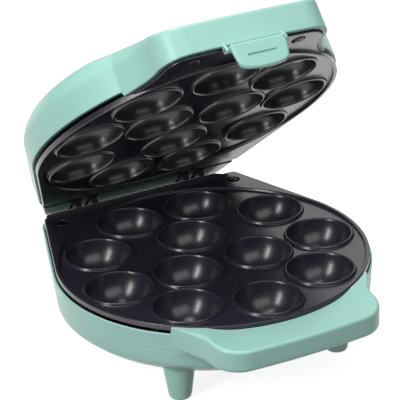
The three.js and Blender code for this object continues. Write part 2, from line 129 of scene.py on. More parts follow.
# the hinge: the base's ears and the lid's lug, by their distance from the middle
EARS = [31.0, 42.3]
EAR_T = 4.0
EAR_PLAY = 0.7
LUG = (36.0, 41.3)
EYE_R = 5.0


# ---- placing ----
# these stand a shape drawn in X-Y up in Y-Z or in X-Z
INTO_YZ = Matrix(((0, 0, 1, 0), (1, 0, 0, 0), (0, 1, 0, 0), (0, 0, 0, 1)))
INTO_XZ = Matrix(((1, 0, 0, 0), (0, 0, 1, 0), (0, 1, 0, 0), (0, 0, 0, 1)))
UPSIDE_DOWN = Matrix.Scale(-1, 4, (0, 0, 1))


def place(lid):
    """From millimetres, as it stands shut, to the frame."""
    to_frame = Matrix.Translation((0, SHIFT_Y, 0)) @ Matrix.Scale(MM, 4)
    if not lid:
        return to_frame
    hinge = Matrix.Translation((0, HINGE_Y, HINGE_Z))
    return to_frame @ hinge @ Matrix.Rotation(-OPEN, 4, "X") @ hinge.inverted()


def smoothstep(low, high, value):
    t = min(max((value - low) / (high - low), 0), 1)
    return t * t * (3 - 2 * t)


def mix(a, b, t):
    return a + (b - a) * t


class Shape:
    """A mesh drawn ring by ring."""

    def __init__(self):
        self.bm = bmesh.new()

    def ring(self, points):
        return [self.bm.verts.new(p) for p in points]

    def bridge(self, a, b):
        for i in range(len(a)):
            j = (i + 1) % len(a)
            self.bm.faces.new((a[i], a[j], b[j], b[i]))

    def loft(self, rings):
        rows = [self.ring(points) for points in rings]
        for a, b in zip(rows, rows[1:]):
            self.bridge(a, b)
        return rows[0], rows[-1]

    def fan(self, ring, point):
        tip = self.bm.verts.new(point)
        for i in range(len(ring)):
            self.bm.faces.new((ring[i], ring[(i + 1) % len(ring)], tip))

    def cap(self, ring):
        self.bm.faces.new(ring)

    def fill(self, *rings):
        """A flat face between an outline and the holes in it."""
        edges = []
        for ring in rings:
            for i in range(len(ring)):
                pair = (ring[i], ring[(i + 1) % len(ring)])
                edges.append(self.bm.edges.get(pair) or self.bm.edges.new(pair))
        bmesh.ops.triangle_fill(self.bm, edges=edges, use_beauty=True, normal=(0, 0, 1))

    def move(self, matrix):
        self.bm.transform(matrix)
        return self

    def join(self, other):
        """Takes in another shape as a separate shell of the same piece."""
        held = bpy.data.meshes.new("held")
        other.bm.to_mesh(held)
        other.bm.free()
        self.bm.from_mesh(held)
        bpy.data.meshes.remove(held)
        return self

    def piece(self, name, body, slot, nodes, material, lid=False):
        """Makes the object that stands in for the CAD nodes. `lid` swings it open with the lid."""
        bmesh.ops.recalc_face_normals(self.bm, faces=self.bm.faces)
        self.bm.transform(place(lid))
        mesh = bpy.data.meshes.new(name)
        self.bm.to_mesh(mesh)
        self.bm.free()
        mesh.polygons.foreach_set("use_smooth", [True] * len(mesh.polygons))
        mesh.set_sharp_from_angle(angle=math.radians(38))
        mesh.materials.append(material)
        piece = bpy.data.objects.new(name, mesh)
        bpy.context.scene.collection.objects.link(piece)
        normals = piece.modifiers.new("normals", "WEIGHTED_NORMAL")
        normals.keep_sharp = True
        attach(piece, body)
        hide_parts(*nodes)
        return piece


# ---- outlines, as lists of 2-D vectors running right round ----
def arc(x, y, r, start, end, steps):
    angles = [math.radians(mix(start, end, i / steps)) for i in range(steps + 1)]
    return [Vector((x + r * math.cos(a), y + r * math.sin(a))) for a in angles]


def circle(x, y, r, sides):
    return arc(x, y, r, 0, 360 - 360 / sides, sides - 1)


def bezier(a, b, c, d, steps):
    points = []
    for i in range(steps + 1):
        t = i / steps
        u = 1 - t
        points.append(a * u ** 3 + b * 3 * u * u * t + c * 3 * u * t * t + d * t ** 3)
    return points


def resample(points, step):
    """Points at even steps along an open run."""
    out = [points[0]]
    left = step
    for a, b in zip(points, points[1:]):
        length = (b - a).length
        while left <= length:
            out.append(a.lerp(b, left / length))
            left += step
        left -= length
    if (out[-1] - points[-1]).length < step * 0.5:
        out.pop()
    return out + [points[-1]]


def mirrored(points):
    return [Vector((-p.x, p.y)) for p in points]


def both_halves(right):
    """A run from the front's middle round the right to the back's middle, and its mirror."""
    return right + mirrored(right[1:-1])[::-1]


def rear_run(r, rear, corner):
    """From the circle's right side along the straight side and round the back corner."""
    start = Vector((r * math.cos(SIDE), r * math.sin(SIDE)))
    along = Vector((-math.sin(SIDE), math.cos(SIDE)))
    turn = math.degrees(SIDE)
    # centre of the corner's arc, which touches the side and the back
    centre_y = rear - corner
    reach = (centre_y - start.y + corner * math.sin(SIDE)) / along.y
    centre_x = start.x + along.x * reach - corner * math.cos(SIDE)
    return [start] + arc(centre_x, centre_y, corner, turn, 90, 16) + [Vector((0, rear))]


def front_arc(r, start=-90):
    return arc(0, 0, r, start, math.degrees(SIDE), 100)


def round_plan(r, rear, corner):
    return both_halves(resample(front_arc(r)[:-1] + rear_run(r, rear, corner), PLAN_STEP))


def handle_run(inset=0.0):
    """From the front's middle round the handle's corner and out along its flare."""
    w = HANDLE_W - inset
    corner = HANDLE_CORNER - inset
    low = HANDLE_Y - 1.4 - inset
    bow = [Vector((0, -low - 1.4)), Vector((w * 0.2, -low - 1.3)), Vector((w * 0.45, -low - 0.75))]
    turn = arc(w - corner, -low + corner, corner, -86, 0, 20)
    flare = bezier(Vector((w, -low + corner)), Vector((w + 0.4, -90)), Vector((w + 5.5, -83)),
                   Vector((w + 11.2, -72.4)), 20)
    return bow + turn + flare[1:]


def handled_plan(r, rear, corner):
    flare = handle_run()
    end = math.degrees(math.atan2(flare[-1].y, flare[-1].x))
    run = flare + front_arc(r, end + 1)[:-1] + rear_run(r, rear, corner)
    return both_halves(resample(run, PLAN_STEP))


def outward(points):
    """Unit normals of an outline that runs anticlockwise."""
    out = []
    for i in range(len(points)):
        t = points[(i + 1) % len(points)] - points[i - 1]
        out.append(Vector((t.y, -t.x)).normalized())
    return out


def grown(points, by):
    return [p + n * by for p, n in zip(points, outward(points))]


def seen_at(points, angle):
    """Where an outline round the origin is crossed at a polar angle."""
    ray = Vector((math.cos(angle), math.sin(angle)))
    for a, b in zip(points, points[1:] + points[:1]):
        side = b - a
        cross = ray.x * side.y - ray.y * side.x
        if abs(cross) < 1e-9:
            continue
        far = (a.x * side.y - a.y * side.x) / cross
        part = (a.x * ray.y - a.y * ray.x) / cross
        if far > 0 and -1e-6 <= part <= 1 + 1e-6:
            return ray * far
    raise ValueError("the outline does not go round the origin")


def matched(points, guide):
    """The point of `points` that lies in the same direction as each point of `guide`."""
    return [seen_at(points, math.atan2(p.y, p.x)) for p in guide]


def at(points, z):
    """Lifts an outline to a height, or to its own height at each point."""
    if callable(z):
        return [Vector((p.x, p.y, z(p))) for p in points]
    return [Vector((p.x, p.y, z)) for p in points]


def notched(points):
    """Adds close pairs of points on each side of the two notches, so that the step is steep."""
    out = []
    for a, b in zip(points, points[1:] + points[:1]):
        out.append(a)
        for side in (-1, 1):
            for shift in (-0.45, -0.15, 0.15, 0.45):
                angle = -math.pi / 2 + side * (NOTCH + shift / SHELL_R)
                ray = Vector((math.cos(angle), math.sin(angle)))
                ca = ray.x * a.y - ray.y * a.x
                cb = ray.x * b.y - ray.y * b.x
                if ca * cb < 0 and a.dot(ray) > 0:
                    out.append(a.lerp(b, ca / (ca - cb)))
    return sorted(out, key=lambda p: (math.atan2(p.x, -p.y)) % (2 * math.pi))


def front_part(p):
    """1 inside the raised front stretch between the notches, 0 outside it."""
    angle = abs(math.atan2(p.x, -p.y))
    return 1 - smoothstep(-0.5, 0.5, (angle - NOTCH) * SHELL_R)


# ---- materials ----
def new_material(name):
    material = bpy.data.materials.new(name)
    material.use_nodes = True
    tree = material.node_tree
    return material, tree, tree.nodes["Principled BSDF"]


def coordinates(tree, scale):
    place_node = tree.nodes.new("ShaderNodeTexCoord")
    mapping = tree.nodes.new("ShaderNodeMapping")
    mapping.inputs["Scale"].default_value = (scale, scale, scale)
    tree.links.new(place_node.outputs["Object"], mapping.inputs["Vector"])
    return mapping.outputs["Vector"]


def noise(tree, scale, detail=3.0, rough=0.5):
    node = tree.nodes.new("ShaderNodeTexNoise")
    node.inputs["Scale"].default_value = 1.0
    node.inputs["Detail"].default_value = detail
    node.inputs["Roughness"].default_value = rough
    tree.links.new(coordinates(tree, scale), node.inputs["Vector"])
    return node.outputs["Fac"]


def ramp(tree, fac, stops):
    node = tree.nodes.new("ShaderNodeValToRGB")
    node.color_ramp.elements[0].position = stops[0][0]
    node.color_ramp.elements[0].color = stops[0][1]
    node.color_ramp.elements[1].position = stops[-1][0]
    node.color_ramp.elements[1].color = stops[-1][1]
    for position, color in stops[1:-1]:
        node.color_ramp.elements.new(position).color = color
    tree.links.new(fac, node.inputs["Fac"])
    return node.outputs["Color"]


def grey(value):
    return (value, value, value, 1)


def bump(tree, bsdf, height, distance, strength, under=None):
    node = tree.nodes.new("ShaderNodeBump")
    node.inputs["Distance"].default_value = distance
    node.inputs["Strength"].default_value = strength
    tree.links.new(height, node.inputs["Height"])
    if under:
        tree.links.new(under, node.inputs["Normal"])
    tree.links.new(node.outputs["Normal"], bsdf.inputs["Normal"])
    return node.outputs["Normal"]


def speckled(name, low, high, scale, rough, bump_size, metallic=0.0):
    """A solid colour that varies a little, with a fine grain in its gloss and relief."""
    material, tree, bsdf = new_material(name)
    tree.links.new(ramp(tree, noise(tree, 22), [(0.3, low), (0.7, high)]), bsdf.inputs["Base Color"])
    grain = noise(tree, scale, 4, 0.6)
    spread = ramp(tree, grain, [(0.3, grey(rough[0])), (0.7, grey(rough[1]))])
    tree.links.new(spread, bsdf.inputs["Roughness"])
    bump(tree, bsdf, grain, bump_size, 0.5)
    bsdf.inputs["Metallic"].default_value = metallic
    return material


def mint_plastic():
    """Pale mint moulding: satin gloss over a very fine, slightly wavy moulded surface."""
    material, tree, bsdf = new_material("mint_plastic")
    color = ramp(tree, noise(tree, 14, 2), [
        (0.25, (0.330, 0.605, 0.535, 1)), (0.75, (0.355, 0.630, 0.560, 1))])
    tree.links.new(color, bsdf.inputs["Base Color"])
    grain = noise(tree, 1500, 3, 0.55)
    spread = ramp(tree, grain, [(0.3, grey(0.30)), (0.7, grey(0.37))])
    tree.links.new(spread, bsdf.inputs["Roughness"])
    wave = bump(tree, bsdf, noise(tree, 45, 1), 0.00012, 0.25)
    bump(tree, bsdf, grain, 0.00002, 0.35, wave)
    bsdf.inputs["IOR"].default_value = 1.45
    bsdf.inputs["Subsurface Weight"].default_value = 0.06
    bsdf.inputs["Subsurface Radius"].default_value = (0.004, 0.006, 0.006)
    return material


def nonstick():
    """Black non-stick coat on cast aluminium, with a fine pebbled surface."""
    material, tree, bsdf = new_material("nonstick_coating")
    color = ramp(tree, noise(tree, 600, 4), [
        (0.35, (0.018, 0.016, 0.026, 1)), (0.6, (0.023, 0.021, 0.032, 1)),
        (0.8, (0.032, 0.029, 0.042, 1))])
    tree.links.new(color, bsdf.inputs["Base Color"])
    grain = noise(tree, 900, 4, 0.6)
    spread = ramp(tree, grain, [(0.3, grey(0.25)), (0.7, grey(0.34))])
    tree.links.new(spread, bsdf.inputs["Roughness"])
    bump(tree, bsdf, grain, 0.00002, 0.35)
    bsdf.inputs["Specular IOR Level"].default_value = 0.55
    bsdf.inputs["Coat Weight"].default_value = 0.25
    bsdf.inputs["Coat Roughness"].default_value = 0.18
    return material


def turned_steel():
    material, tree, bsdf = new_material("steel")
    color = ramp(tree, noise(tree, 300, 3), [
        (0.3, (0.42, 0.42, 0.43, 1)), (0.7, (0.60, 0.60, 0.61, 1))])
    tree.links.new(color, bsdf.inputs["Base Color"])
    grain = noise(tree, 2200, 3)
    tree.links.new(ramp(tree, grain, [(0.3, grey(0.22)), (0.7, grey(0.4))]), bsdf.inputs["Roughness"])
    bump(tree, bsdf, grain, 0.00002, 0.4)
    bsdf.inputs["Metallic"].default_value = 1.0
    return material


def lens_material(name, color):
    material, tree, bsdf = new_material(name)
    deep = tuple(c * 0.6 for c in color[:3]) + (1,)
    tree.links.new(ramp(tree, noise(tree, 400, 2), [(0.3, deep), (0.7, color)]),
                   bsdf.inputs["Base Color"])
    bump(tree, bsdf, noise(tree, 900, 2), 0.00003, 0.3)
    bsdf.inputs["Roughness"].default_value = 0.12
    bsdf.inputs["Coat Weight"].default_value = 0.6
    return material


MINT = mint_plastic()
COATED = nonstick()
STEEL = turned_steel()
BLACK_STEEL = speckled("black_steel", (0.024, 0.024, 0.026, 1), (0.045, 0.045, 0.048, 1), 1500,
                       (0.3, 0.45), 0.00003, metallic=0.9)
DARK = speckled("dark_plastic", (0.012, 0.012, 0.013, 1), (0.022, 0.022, 0.024, 1), 1200,
                (0.45, 0.6), 0.00004)
RUBBER = speckled("rubber", (0.016, 0.016, 0.016, 1), (0.03, 0.03, 0.03, 1), 900,
                  (0.7, 0.9), 0.00008)
CERAMIC = speckled("ceramic", (0.66, 0.61, 0.52, 1), (0.78, 0.73, 0.63, 1), 700,
                   (0.55, 0.75), 0.00006)
RED = lens_material("lamp_red", (0.55, 0.02, 0.015, 1))
GREEN = lens_material("lamp_green", (0.03, 0.38, 0.08, 1))


# ---- shells ----
def base_wall(plain, handled, reach):
    """Rings out under the handle and up its edge; with no handle, up the round wall."""
    # (distance out from the round wall, height under the handle, height with no handle)
    under = [(0.3, 38.4, 39.2), (0.9, 39.6, 40.2), (1.9, 40.3, 41.0), (3.4, 40.5, 41.6)]
    # (distance in from the outline, the same two heights)
    rounding = [(3.2, 40.5, 42.0), (1.7, 40.75, 42.4), (0.7, 41.5, 42.9), (0.15, 42.6, 43.5),
                (0.0, 44.2, 44.6)]
    share = [smoothstep(0.5, 7, r) for r in reach]
    rings = []
    for out, high, low in under:
        ring = []
        for p, h, n, r, s in zip(plain, handled, outward(plain), reach, share):
            limit = max(r, 1e-6)
            q = p.lerp(h, min(out, limit * 0.5) / limit) - n * 0.8 * (1 - s)
            ring.append(Vector((q.x, q.y, mix(low, high, s))))
        rings.append(ring)
    for inset, high, low in rounding:
        ring = []
        for h, n, r, s in zip(handled, outward(handled), reach, share):
            q = h - n * (min(inset, r * 0.45) + 0.6 * (1 - s))
            ring.append(Vector((q.x, q.y, mix(low, high, s))))
        rings.append(ring)
    return rings


def base_top_z(p):
    """Height of the base's top: the sloping handle in front, and elsewhere the lip."""
    handle = HANDLE_TOP_Z - max(-p.y - PLATE_R, 0) * HANDLE_DROP
    lip = mix(LIP_Z, SHELF_Z, smoothstep(LOWER_REAR, LOWER_REAR + 1.4, p.y))
    return mix(lip, handle, front_part(p))


def base_top_edge(handled, reach):
    """The outer edge of the top, rounded where there is a handle and thin on the lip."""
    rings = []
    for share, drop in [(0.0, 2.6), (0.0, 1.6), (0.12, 0.8), (0.4, 0.25), (0.75, 0.03), (1.0, 0.0)]:
        ring = []
        for p, n, r in zip(handled, outward(handled), reach):
            size = mix(0.36, 2.2, smoothstep(1.5, 9, r))
            q = p - n * size * share
            sunk = drop * mix(0.3, 1, smoothstep(1, 8, r))
            ring.append(Vector((q.x, q.y, base_top_z(p) - sunk)))
        rings.append(ring)
    return rings


def base_well(handled):
    """The inner edge of the top, round the lower plate."""
    well = matched(round_plan(PLATE_R + GAP, LOWER_REAR + GAP, PLATE_CORNER), handled)
    rings = []
    for out, drop in [(0.45, 0.0), (0.16, 0.08), (0.0, 0.35), (0.0, 2.2)]:
        rings.append([Vector((p.x + n.x * out, p.y + n.y * out, base_top_z(h) - drop))
                      for p, n, h in zip(well, outward(well), handled)])
    return rings + [at(grown(well, -0.2), 46.0)]


def base_shell():
    handled = notched(handled_plan(SHELL_R, BASE_REAR, BASE_CORNER))
    plain = matched(round_plan(SHELL_R, BASE_REAR, BASE_CORNER), handled)
    reach = [(h - p).length for h, p in zip(handled, plain)]
    # both are (distance in from the round wall, height)
    bowl = [(30, FLOOR_Z), (14, FLOOR_Z), (10.2, FLOOR_Z), (9.4, 24.1), (8.5, 24.55), (7.7, 25.2),
            (3.1, 29.3), (2.3, 30.15), (1.8, 31.0), (1.5, 32.2), (1.3, 34), (1.0, 36.5)]
    inside = [(4.6, 44), (5.0, 33), (6.5, 29.5), (11, 26.8), (14, INNER_FLOOR_Z),
              (30, INNER_FLOOR_Z)]
    rings = [at(grown(plain, -inset), z) for inset, z in bowl]
    rings += base_wall(plain, handled, reach) + base_top_edge(handled, reach) + base_well(handled)
    rings += [at(grown(plain, -inset), z) for inset, z in inside]
    shell = Shape()
    first, last = shell.loft(rings)
    shell.fan(first, (0, 0, FLOOR_Z))
    shell.fan(last, (0, 0, INNER_FLOOR_Z))
    for x, y in FEET.values():
        shell.join(foot(x, y))
    return shell.piece("base_shell", "base", "mint_plastic", ["base_housing"], MINT)


def lathe(x, y, profile, sides=64):
    """Turns (radius, height) points about a vertical line; ends at radius 0 close it."""
    shape = Shape()
    rings = []
    for r, z in profile:
        if r > 0:
            rings.append(at(circle(x, y, r, sides), z))
    first, last = shape.loft(rings)
    shape.fan(first, (x, y, profile[0][1]))
    shape.fan(last, (x, y, profile[-1][1]))
    return shape


def foot(x, y):
    pocket = 4.4
    profile = [(0, 1.8), (pocket, 1.8), (pocket, 0.5), (4.7, 0.4), (5.2, 0.45), (6.0, 0.8),
               (6.6, 1.5), (7.0, 3.0), (9.4, 20.5), (9.8, 22.2), (10.6, 23.6), (11.8, 24.6),
               (13.0, 25.2), (0, 25.3)]
    return lathe(x, y, profile)


def lid_top_z(p, inset):
    """Height of the lid's skin `inset` mm in from its wall."""
    slope = LID_FRONT_Z + (p.y + HANDLE_Y) * LID_SLOPE
    turn = math.pi / 2 * min(max(inset, 0) / LID_SHOULDER, 1)
    shoulder = LID_SHOULDER_Z + (LID_TOP_Z - LID_SHOULDER_Z) * math.sin(turn) ** 0.9
    blend = 1.6
    gap = (slope - shoulder) / blend
    low = min(slope, shoulder)
    if abs(gap) < 1:
        low -= blend * (1 - abs(gap)) ** 2 / 4
    edge = 2.0
    if inset < edge:
        low -= edge - math.sqrt(edge ** 2 - (edge - inset) ** 2)
    return low


def lid_lip_z(p):
    return mix(LID_LIP_Z, LID_FRONT_LIP_Z, front_part(p))


def lid_ring(outline, inset, height):
    """The outline moved in, at height(its own point, the moved point)."""
    return [Vector((p.x - n.x * inset, p.y - n.y * inset, height(p, p - n * inset)))
            for p, n in zip(outline, outward(outline))]


def top_ring(border, share, drop=0.0):
    """The top's border drawn in towards the middle."""
    return [Vector((p.x * share, p.y * share, lid_top_z(p * share, ON_TOP) - drop)) for p in border]


def lid_outside(outline, border, insets):
    """Rings from the lip up the wall, over the shoulder and across the top."""
    rounded = 0.9
    rings = []
    for inset, lift in [(0.75, 0), (0.3, 0.1), (0.06, 0.35), (0, rounded)]:
        rings.append(lid_ring(outline, inset, lambda p, q, lift=lift: lid_lip_z(p) + lift))
    for part in (0.25, 0.5, 0.75, 1.0):
        rings.append([Vector((p.x, p.y, mix(lid_lip_z(p) + rounded, lid_top_z(p, 0), part)))
                      for p in outline])
    for inset in insets:
        rings.append(lid_ring(outline, inset, lambda p, q, inset=inset: lid_top_z(q, inset)))
    for share in (0.93, 0.86, 0.78, 0.7, 0.6, 0.5, 0.4, 0.3, 0.2, 0.1):
        rings.append(top_ring(border, share))
    return rings


def lid_inside(outline, border):
    """Rings from the mouth up and across, LID_WALL below the skin."""
    # round the plate; its back is drawn past the lid's, so that it never counts
    past_the_back = 140
    well = matched(round_plan(PLATE_R + GAP, past_the_back, PLATE_CORNER), outline)
    # in front the shell keeps an even wall; elsewhere it comes close to the plate
    mouth = [w if w.length < q.length + 1.2 and front_part(p) < 0.5 else q
             for w, q, p in zip(well, grown(outline, -3.0), outline)]
    rings = [at(mouth, lid_lip_z), at(grown(mouth, 0.02), lambda p: lid_lip_z(p) + 4)]
    for inset, lift in [(3.2, 0.55), (3.4, 1.0), (6, 1.0), (10, 1.0), (14, 1.0)]:
        def height(p, q, inset=inset, lift=lift):
            return mix(lid_lip_z(p), lid_top_z(q, inset) - LID_WALL, lift)
        rings.append(lid_ring(outline, inset, height))
    return rings + [top_ring(border, share, LID_WALL) for share in (0.8, 0.5, 0.2)]


def lid_shell():
    outline = notched(handled_plan(SHELL_R, LID_REAR, LID_CORNER))
    insets = [0.08, 0.3, 0.65, 1.1, 1.6, 2.1, 2.8, 3.8, 5, 6.4, 8, 9.6, LID_SHOULDER, 13.5]
    border = grown(outline, -insets[-1])
    shell = Shape()
    lip, top = shell.loft(lid_outside(outline, border, insets))
    shell.fan(top, (0, 0, LID_TOP_Z))
    mouth, ceiling = shell.loft(lid_inside(outline, border))
    shell.bridge(lip, mouth)
    shell.fan(ceiling, (0, 0, LID_TOP_Z - LID_WALL))
    for side in (-1, 1):
        shell.join(latch_ear(side))
    return shell.piece("lid_shell", "lid", "mint_plastic", ["lid_housing"], MINT, lid=True)


# ---- prisms ----
def prism(outline, low, high, bevel, axis="Z", holes=()):
    """An extruded outline with softened edges. Along X it is drawn in Y-Z, along Y in X-Z."""
    shape = Shape()
    tops = [shape.ring(at(points, high)) for points in (outline, *holes)]
    lows = [shape.ring(at(points, low)) for points in (outline, *holes)]
    for top, bottom in zip(tops, lows):
        shape.bridge(top, bottom)
    if holes:
        shape.fill(*tops)
        shape.fill(*lows)
    else:
        shape.cap(tops[0])
        shape.cap(lows[0])
    bmesh.ops.recalc_face_normals(shape.bm, faces=shape.bm.faces)
    sharp = [e for e in shape.bm.edges if len(e.link_faces) == 2
             and e.calc_face_angle(0) > math.radians(35)]
    bmesh.ops.bevel(shape.bm, geom=sharp, offset=bevel, segments=2, profile=0.5,
                    affect="EDGES", clamp_overlap=True)
    if axis == "X":
        shape.move(INTO_YZ)
    if axis == "Y":
        shape.move(INTO_XZ)
    return shape


def corners(*points):
    return [Vector(p) for p in points]


def rectangle(x0, x1, y0, y1):
    return corners((x0, y0), (x1, y0), (x1, y1), (x0, y1))


def span(side, a, b):
    """The stretch from a to b out from the middle, on the right or mirrored to the left."""
    return (a, b) if side > 0 else (-b, -a)


def latch_ear(side):
    profile = corners((-115.6, 62.5), (-115.6, 56.4), (-116.6, 55.5), (-118.8, 55.5),
                      (-119.6, 56.6), (-119.6, 58.2), (-118, 60.6), (-117.4, 62.5))
    return prism(profile, *span(side, 17.6, 19.4), bevel=0.3, axis="X")


# ---- baking plates ----
def cup_centres():
    for i in range(9):
        angle = math.radians(-90 + 40 * i)
        yield CUP_RING * math.cos(angle), CUP_RING * math.sin(angle)
    for i in range(3):
        angle = math.radians(90 + 120 * i)
        yield CUP_INNER_RING * math.cos(angle), CUP_INNER_RING * math.sin(angle)


# both are (radius, height): the bead round a cup's mouth, and the step from rim to deck
CUP_BEAD = [(22.0, DECK), (21.8, -1.62), (21.62, -1.25), (21.5, -0.7), (21.3, -0.3), (21.0, -0.08),
            (20.7, 0.0), (20.35, -0.04), (20.05, -0.2), (19.85, -0.5), (19.68, -0.95)]
RIM_STEP = [(DECK_R, 0.0), (93.62, -0.03), (93.42, -0.16), (93.26, -0.4), (93.14, -0.9),
            (93.0, -1.35), (92.75, -1.62), (92.35, DECK)]


def baking_plate(rear, screws=()):
    """Rims up at z = 0: a rimmed deck with a half-ball cup at each centre, closed underneath."""
    plate = Shape()
    outline = round_plan(PLATE_R, rear, PLATE_CORNER)
    # the rim's outer edge, the flange and the step under it
    edge = [(-0.55, 0.0), (-0.25, -0.06), (-0.06, -0.25), (0.0, -0.6), (0.0, -3.0), (-0.3, -3.25),
            (-2.6, -3.25), (-2.6, PLATE_UNDER)]
    top, bottom = plate.loft([at(grown(outline, grow), z) for grow, z in edge])
    rim, deck = plate.loft([at(circle(0, 0, r, 240), z) for r, z in RIM_STEP])
    plate.fill(top, rim, *[screw_seat(plate, x, y) for x, y in screws])
    bowl = [(CUP_R * math.cos(a), -CUP_R * math.sin(a))
            for a in [math.radians(mix(4.5, 88, i / 22)) for i in range(23)]]
    start = math.asin(-PLATE_UNDER / CUP_BACK_R)
    back = [(CUP_BACK_R * math.cos(a), -CUP_BACK_R * math.sin(a))
            for a in [mix(start, math.radians(87), i / 10) for i in range(11)]]
    mouths = []
    backs = []
    for x, y in cup_centres():
        mouth, tip = plate.loft([at(circle(x, y, r, 80), z) for r, z in CUP_BEAD + bowl])
        plate.fan(tip, (x, y, -CUP_R))
        mouths.append(mouth)
        root, end = plate.loft([at(circle(x, y, r, 40), z) for r, z in back])
        plate.fan(end, (x, y, -CUP_BACK_R))
        backs.append(root)
    plate.fill(deck, *mouths)
    plate.fill(bottom, *backs)
    return plate


def screw_seat(plate, x, y):
    """A sunk seat for a screw's head; gives back its edge."""
    edge, floor = plate.loft([at(circle(x, y, r, 32), z) for r, z in [
        (4.6, 0.0), (4.35, -0.08), (4.2, -0.3), (4.2, SCREW_SEAT)]])
    plate.fan(floor, (x, y, SCREW_SEAT))
    return edge


def eye_prism(points, hinge_z, x0, x1):
    """A hinge ear or lug: its arm in Y-Z joined to a round eye about the pin."""
    eye = prism([Vector((HINGE_Y, hinge_z)) + p for p in circle(0, 0, EYE_R, 40)], x0, x1,
                bevel=0.35, axis="X")
    return eye.join(prism(points, x0, x1, bevel=0.35, axis="X"))


def lower_plate():
    plate = baking_plate(LOWER_REAR, LOWER_SCREWS)
    hinge_z = HINGE_Z - PART_Z
    lip = corners((-67.4, -2), (60, -2), (60, 0.1), (54, LIP_TOP), (-66.6, LIP_TOP),
                  (-67.4, LIP_TOP - 0.9))
    plate.join(prism(lip, LIP_Y, LOWER_REAR, bevel=0.5, axis="Y"))
    arm = corners((LIP_Y + 0.1, -3.1), (99, -3.1), (HINGE_Y + 2.2, hinge_z - 4.4),
                  (HINGE_Y - 1, hinge_z + 4.85), (LIP_Y + 0.1, LIP_TOP + 0.5))
    for side in (-1, 1):
        for inner in EARS:
            plate.join(eye_prism(arm, hinge_z, *span(side, inner, inner + EAR_T)))
    plate.move(Matrix.Translation((0, 0, PART_Z)))
    return plate.piece("lower_baking_plate", "base", "nonstick_coating", ["lower_plate"], COATED)


def on_side(edge, y):
    """The point at y on the straight side that leads to the corner arc `edge`."""
    return Vector((edge[0].x + (edge[0].y - y) * math.tan(SIDE), y))


def rear_steps(edge, gaps):
    """Outlines of the step behind the groove, between and beside the notches for the ears."""
    groove_end = GROOVE[1]
    # a little inside the apron's own faces, so that no two faces coincide
    tuck = 0.05
    reach = gaps[0][0] - tuck
    outlines = [rectangle(-reach, reach, groove_end, UPPER_REAR - tuck)]
    near = gaps[1][1] + tuck
    beside = ([Vector((near, groove_end)), on_side(edge, groove_end)] + edge
              + [Vector((near, UPPER_REAR))])
    for side in (-1, 1):
        x0, x1 = span(side, gaps[0][1] + tuck, gaps[1][0] - tuck)
        outlines.append(rectangle(x0, x1, groove_end, UPPER_REAR - tuck))
        outlines.append([Vector((p.x * side, p.y)) for p in beside])
    return outlines


def rear_apron():
    """The flat part behind the upper plate's rim, notched for each ear of the hinge."""
    low = -6.4
    front, notch_front = 92, GROOVE[0] + 0.2
    edge = rear_run(PLATE_R, UPPER_REAR, PLATE_CORNER)[1:-1]
    right = [on_side(edge, front)] + edge
    gaps = [(inner - EAR_PLAY, inner + EAR_T + EAR_PLAY) for inner in EARS]
    for inner, outer in gaps[::-1]:
        right += corners((outer, UPPER_REAR), (outer, notch_front), (inner, notch_front),
                         (inner, UPPER_REAR))
    apron = prism(right + mirrored(right)[::-1], low, GROOVE_Z, bevel=0.4)
    for outline in rear_steps(edge, gaps):
        apron.join(prism(outline, low + 0.2, -0.2, bevel=0.35))
    # a thin wall shuts the notches behind the ears
    half = 0.4
    for side in (-1, 1):
        x0, x1 = span(side, gaps[0][0] - 0.4, gaps[1][1] + 0.4)
        wall = rectangle(x0, x1, UPPER_REAR - half, UPPER_REAR + half)
        apron.join(prism(wall, low + 0.4, -0.4, bevel=0.15))
    return apron


def front_tongue():
    """The upper plate's grey extension behind the lid's handle."""
    run = [p for p in handle_run(4.0) if p.y < -70]
    outline = both_halves(run + corners((50, -66), (0, -80)))
    return prism(outline, PLATE_UNDER, -1.7, bevel=0.45,
                 holes=[circle(x, y, 4.2, 28) for x, y in FRONT_SCREWS])


def upper_plate():
    plate = baking_plate(GROOVE[0])
    plate.join(rear_apron())
    plate.join(front_tongue())
    hinge_z = LID_RIM_Z - HINGE_Z
    arm = corners((93.5, -5.2), (97.5, -2.1), (HINGE_Y, hinge_z + EYE_R * 0.96),
                  (HINGE_Y, hinge_z - EYE_R * 0.96), (98, -6.4), (93.5, -6.4))
    for side in (-1, 1):
        plate.join(eye_prism(arm, hinge_z, *span(side, *LUG)))
    plate.move(Matrix.Translation((0, 0, LID_RIM_Z)) @ UPSIDE_DOWN)
    return plate.piece("upper_baking_plate", "lid", "nonstick_coating", ["upper_plate"], COATED,
                       lid=True)


# ---- latch ----
def latch_outline():
    """The tab seen from the front, about its pivot: a rounded tongue that hangs down."""
    right = corners((0, -15.2), (5, -15.0), (9.5, -14.4))
    right += bezier(*corners((11.5, -14.0), (14.2, -13.2), (15.3, -11.8), (15.8, -9.6)), 8)
    right += corners((16.6, -5), (LATCH_HALF, -1))
    right += arc(LATCH_HALF - 1.2, 0.4, 1.2, 0, 90, 5)
    return [Vector((p.x, p.y + LATCH_Z)) for p in right + mirrored(right[1:])[::-1]]


